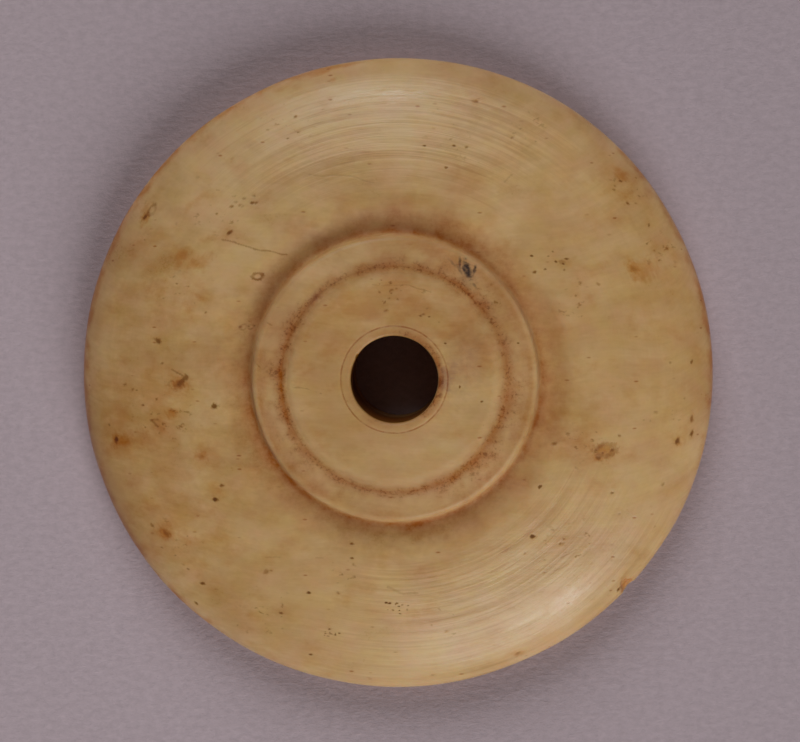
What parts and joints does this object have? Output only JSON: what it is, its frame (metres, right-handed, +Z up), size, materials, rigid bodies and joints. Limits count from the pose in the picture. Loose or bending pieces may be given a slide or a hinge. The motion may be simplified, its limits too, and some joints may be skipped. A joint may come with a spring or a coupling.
{
  "type": "bone spindle whorl",
  "caption": "Round domed disc of turned bone with a stepped boss around a central hole, the flywheel weight that keeps a hand spindle turning.",
  "frame": {"origin": "middle of the flat underside, on the axis of the hole", "axes": "+Z runs up the hole's axis, out of the domed face with the boss; +X and +Y lie in the underside, and the chip in the rim is 42.6 degrees clockwise from +X seen from above"},
  "size_m": [0.044, 0.044, 0.0083],
  "materials": {
    "polished_bone": null
  },
  "bodies": {
    "root": {"whorl": "polished_bone"}
  },
  "joints": []
}
